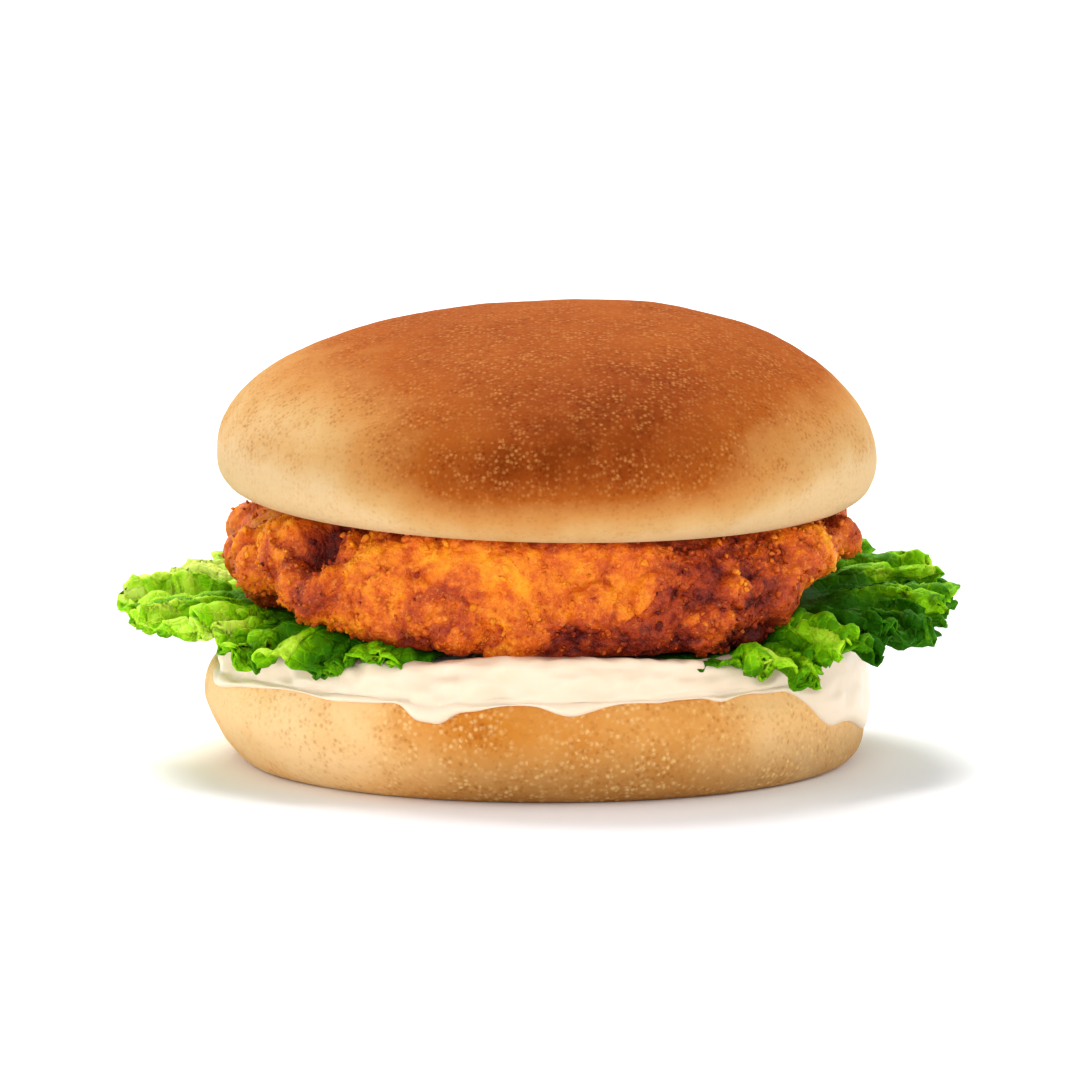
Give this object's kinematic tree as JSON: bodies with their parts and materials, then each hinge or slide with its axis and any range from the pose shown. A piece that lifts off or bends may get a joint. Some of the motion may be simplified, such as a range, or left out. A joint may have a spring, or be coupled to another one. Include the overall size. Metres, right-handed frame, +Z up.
{
  "type": "chicken burger",
  "caption": "Round soft bun filled with a craggy breaded chicken fillet, frilly green lettuce and a thick white spread that drips over the lower half.",
  "frame": {"origin": "middle of the heel's flat underside, on the surface the burger stands on", "axes": "+Z up through the layers; +X to the right of someone facing the front, along the row of the two lettuce leaves; -Y towards the front"},
  "size_m": [0.1278, 0.1038, 0.0687],
  "materials": {
    "heel_crust": "matte, finely grained golden crust",
    "white_spread": "smooth, satin, creamy off-white",
    "green_leaf": "satin, thin and translucent fresh green",
    "fried_breading": "rough, craggy, slightly oily golden brown",
    "crown_crust": "matte with a slight sheen, baked brown"
  },
  "bodies": {
    "root": {"bun_heel": "heel_crust", "mayonnaise": "white_spread", "lettuce_leaf_left": "green_leaf", "lettuce_leaf_right": "green_leaf", "chicken_fillet": "fried_breading", "bun_crown": "crown_crust"}
  },
  "joints": []
}
